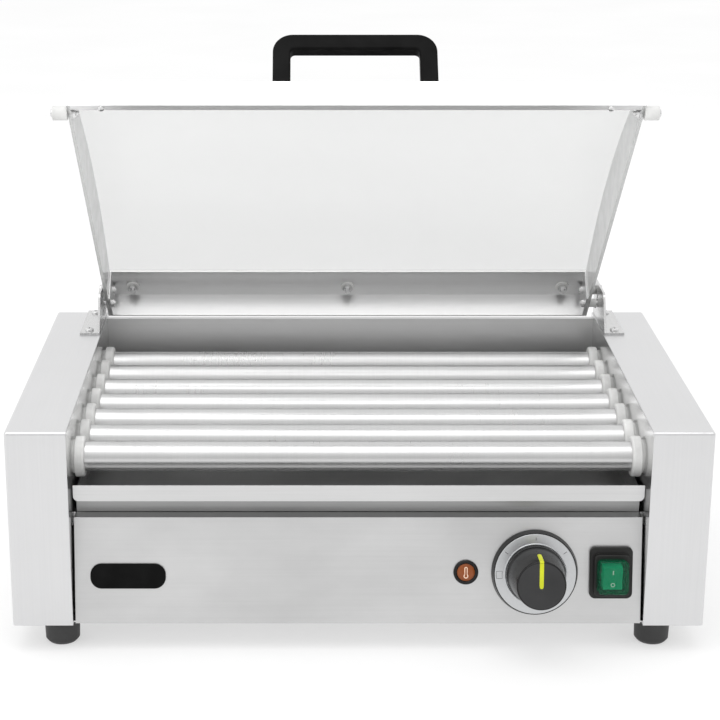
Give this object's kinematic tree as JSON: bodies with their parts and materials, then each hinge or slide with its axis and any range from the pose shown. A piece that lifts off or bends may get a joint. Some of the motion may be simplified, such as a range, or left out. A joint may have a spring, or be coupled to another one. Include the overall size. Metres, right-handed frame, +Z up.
{
  "type": "hot dog roller grill",
  "caption": "Countertop hot dog roller grill with heated rollers, a pull-out drip tray, a hinged clear lid and a control panel in front.",
  "frame": {"origin": "on the bench under the middle of the overall box, feet at z = 0", "axes": "+X to the right along the rollers as seen from the front, +Y towards the back, +Z up"},
  "size_m": [0.59, 0.4078, 0.5086],
  "materials": {
    "brushed_steel": "brushed along its length",
    "bright_steel": "bright rolled",
    "roller_steel": "ground and polished round",
    "drive_steel": "dark oiled steel",
    "white_bush": "satin white",
    "clear_sheet": "clear and polished",
    "black_plastic": "satin black moulding",
    "black_gloss": "semi-gloss black",
    "dial_silver": "turned",
    "green_cover": "translucent green",
    "green_rocker": "lit green",
    "amber_lens": "translucent amber",
    "foot_rubber": "matt",
    "heater_sheath": "heat-dulled",
    "motor_grey": "painted"
  },
  "bodies": {
    "base": {"badge": "black_plastic", "base_pan": "bright_steel", "bracket_screws": "bright_steel", "cable_gland": "black_plastic", "dial_bezel": "black_gloss", "dial_plate": "dial_silver", "drive_chain": "drive_steel", "foot_front_left": "foot_rubber", "foot_front_right": "foot_rubber", "foot_rear_left": "foot_rubber", "foot_rear_right": "foot_rubber", "foot_screws": "bright_steel", "front_panel": "brushed_steel", "gearmotor": "motor_grey", "heater_bars": "bright_steel", "heater_rods": "heater_sheath", "lamp_lens": "amber_lens", "lamp_ring": "black_gloss", "left_bearing_plate": "bright_steel", "left_cover": "brushed_steel", "left_hinge_bracket": "brushed_steel", "rear_panel": "brushed_steel", "right_bearing_plate": "bright_steel", "right_cover": "brushed_steel", "right_hinge_bracket": "brushed_steel", "roller_bushes": "white_bush", "switch_boot": "green_cover", "switch_frame": "black_gloss", "terminal_block": "black_plastic", "thermostat": "black_plastic", "tray_deck": "bright_steel"},
    "drive_sprocket": {"drive_sprocket": "drive_steel"},
    "tray": {"drip_tray": "brushed_steel"},
    "knob": {"knob": "black_gloss", "thermostat_spindle": "heater_sheath"},
    "rocker": {"rocker": "green_rocker"},
    "lid": {"lid_front_rail": "brushed_steel", "lid_rear_rail": "brushed_steel", "lid_pane": "clear_sheet", "lid_left_side": "clear_sheet", "lid_right_side": "clear_sheet", "lid_handle": "black_plastic", "lid_washers": "white_bush", "lid_bolts": "bright_steel", "lid_bumpers": "white_bush", "hinge_bolts": "bright_steel"},
    "roller_1": {"roller_1": "roller_steel", "sprocket_1": "drive_steel"},
    "roller_2": {"roller_2": "roller_steel", "sprocket_2": "drive_steel"},
    "roller_3": {"roller_3": "roller_steel", "sprocket_3": "drive_steel"},
    "roller_4": {"roller_4": "roller_steel", "sprocket_4": "drive_steel"},
    "roller_5": {"roller_5": "roller_steel", "sprocket_5": "drive_steel"},
    "roller_6": {"roller_6": "roller_steel", "sprocket_6": "drive_steel"},
    "roller_7": {"roller_7": "roller_steel", "sprocket_7": "drive_steel"}
  },
  "joints": [
    {"name": "roller_1_spin", "type": "hinge", "parent": "base", "child": "roller_1", "pos_m": [0, -0.11567, 0.1615], "axis": [1, 0, 0], "continuous": true},
    {"name": "roller_2_spin", "type": "hinge", "parent": "base", "child": "roller_2", "pos_m": [0, -0.07267, 0.1615], "axis": [1, 0, 0], "continuous": true},
    {"name": "roller_3_spin", "type": "hinge", "parent": "base", "child": "roller_3", "pos_m": [0, -0.02967, 0.1615], "axis": [1, 0, 0], "continuous": true},
    {"name": "roller_4_spin", "type": "hinge", "parent": "base", "child": "roller_4", "pos_m": [0, 0.01333, 0.1615], "axis": [1, 0, 0], "continuous": true},
    {"name": "roller_5_spin", "type": "hinge", "parent": "base", "child": "roller_5", "pos_m": [0, 0.05633, 0.1615], "axis": [1, 0, 0], "continuous": true},
    {"name": "roller_6_spin", "type": "hinge", "parent": "base", "child": "roller_6", "pos_m": [0, 0.09933, 0.1615], "axis": [1, 0, 0], "continuous": true},
    {"name": "roller_7_spin", "type": "hinge", "parent": "base", "child": "roller_7", "pos_m": [0, 0.14233, 0.1615], "axis": [1, 0, 0], "continuous": true},
    {"name": "drive_sprocket_spin", "type": "hinge", "parent": "base", "child": "drive_sprocket", "pos_m": [0.258, 0.01333, 0.074], "axis": [1, 0, 0], "continuous": true},
    {"name": "tray_slide", "type": "slide", "parent": "base", "child": "tray", "axis": [0, -1, 0], "range_m": [0, 0.25]},
    {"name": "lid_hinge", "type": "hinge", "parent": "base", "child": "lid", "pos_m": [0, 0.18633, 0.226], "axis": [-1, 0, 0], "range_deg": [-43.8, 50]},
    {"name": "knob_turn", "type": "hinge", "parent": "base", "child": "knob", "pos_m": [0.1507, -0.17084, 0.07275], "axis": [0, 0.984, -0.1784], "range_deg": [0, 270]},
    {"name": "rocker_press", "type": "hinge", "parent": "base", "child": "rocker", "pos_m": [0.2156, -0.1563, 0.06889], "axis": [1, 0, 0], "range_deg": [-14, 0]}
  ],
  "couplings": [
    {"joint": "roller_2_spin", "follows": "roller_1_spin", "ratio": 1},
    {"joint": "roller_3_spin", "follows": "roller_1_spin", "ratio": 1},
    {"joint": "roller_4_spin", "follows": "roller_1_spin", "ratio": 1},
    {"joint": "roller_5_spin", "follows": "roller_1_spin", "ratio": 1},
    {"joint": "roller_6_spin", "follows": "roller_1_spin", "ratio": 1},
    {"joint": "roller_7_spin", "follows": "roller_1_spin", "ratio": 1},
    {"joint": "drive_sprocket_spin", "follows": "roller_1_spin", "ratio": 1.5}
  ]
}
